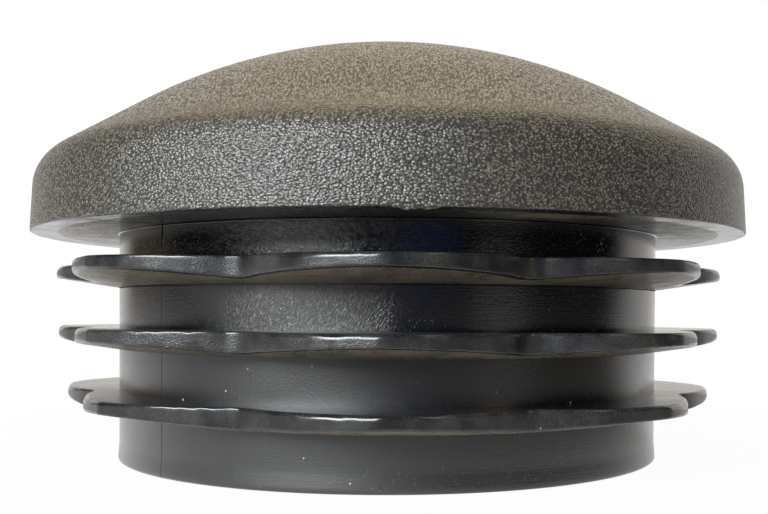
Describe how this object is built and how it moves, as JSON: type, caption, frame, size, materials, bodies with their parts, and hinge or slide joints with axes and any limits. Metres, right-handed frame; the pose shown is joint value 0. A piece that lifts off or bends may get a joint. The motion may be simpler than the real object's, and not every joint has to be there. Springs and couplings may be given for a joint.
{
  "type": "tube end cap",
  "caption": "Domed round tube end cap: grained dome on a hollow stem with scalloped flexible fins that grip the inside of a round tube.",
  "frame": {"origin": "centre of the stem's open end, the lowest point of the cap", "axes": "+Z along the cap's axis, from the stem's open end towards the dome; -Y is the front, and a petal of each fin points along each of X and Y"},
  "size_m": [0.06, 0.06, 0.0347],
  "materials": {
    "black_polyethylene": "black moulded polyethylene: coarse spark-eroded grain on the dome, smooth satin on the stem and fins"
  },
  "bodies": {
    "root": {"end_cap": "black_polyethylene"}
  },
  "joints": []
}
